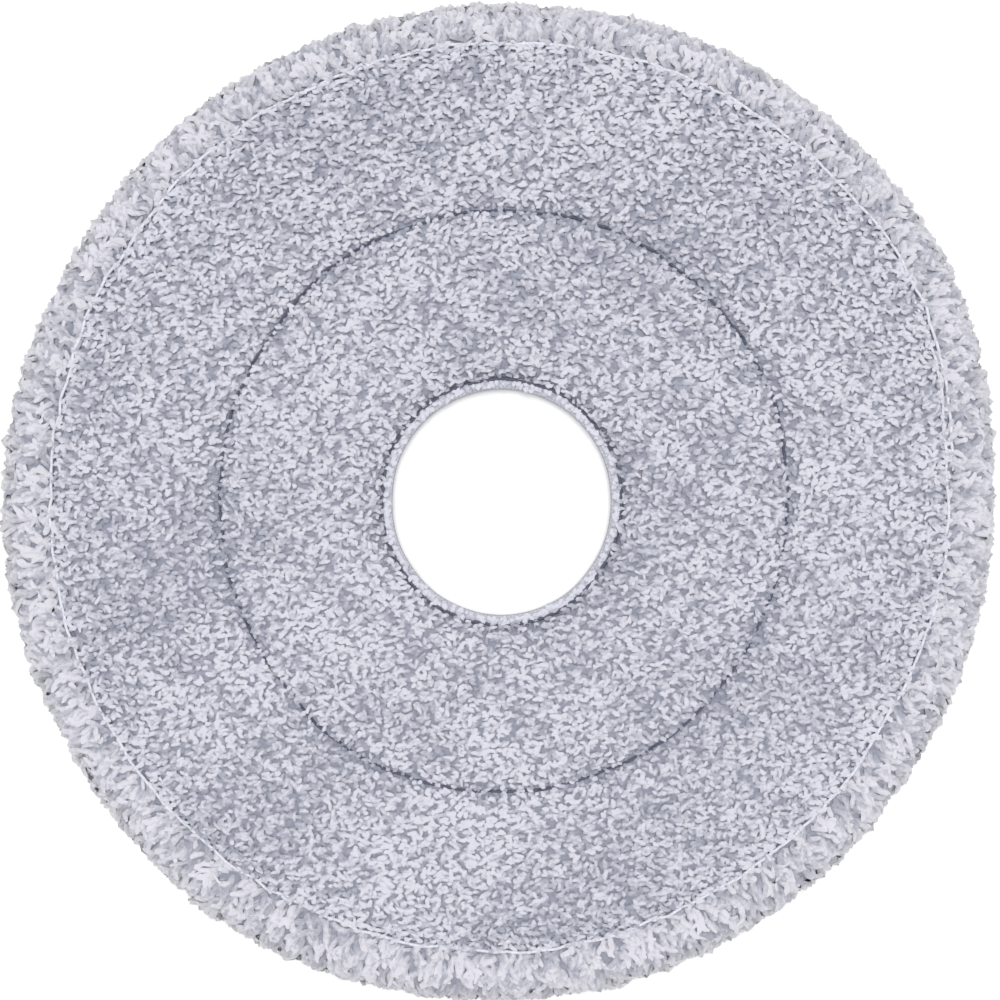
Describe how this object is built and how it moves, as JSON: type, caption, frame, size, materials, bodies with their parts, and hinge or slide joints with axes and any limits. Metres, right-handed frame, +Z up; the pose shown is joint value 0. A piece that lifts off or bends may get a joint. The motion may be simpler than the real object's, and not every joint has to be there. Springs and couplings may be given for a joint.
{
  "type": "spin mop pad",
  "caption": "Round flat mop pad with a centre hole: pile face sewn in rings over wadding, bound rim, and a touch-fastener ring on the back.",
  "frame": {"origin": "on the axis of the centre hole, on the surface that the pad lies on, back down", "axes": "+Z up, out of the pile face; the pad is round about Z, so +X and +Y are any two directions across it"},
  "size_m": [0.245, 0.245, 0.0101],
  "materials": {
    "face_pile": "short cut microfibre pile, white and blue-grey yarns mixed",
    "rim_pile": "longer microfibre pile lying outward, white and blue-grey yarns mixed",
    "lip_tape": "narrow pale binding with a short nap",
    "wadding": "white polyester wadding",
    "backing": "flat pale grey knit",
    "loop": "dark brushed loop of a touch fastener",
    "white_thread": "white spun sewing thread",
    "dark_thread": "dark blue-grey spun sewing thread"
  },
  "bodies": {
    "root": {"face_cloth": "face_pile", "edge_binding": "rim_pile", "hole_binding": "lip_tape", "absorbent_core": "wadding", "backing_cloth": "backing", "loop_patch": "loop", "edge_seam_needle_thread": "white_thread", "edge_seam_bobbin_thread": "white_thread", "ring_seam_needle_thread": "dark_thread", "ring_seam_bobbin_thread": "dark_thread", "hole_seam_needle_thread": "dark_thread", "hole_seam_bobbin_thread": "dark_thread"}
  },
  "joints": []
}
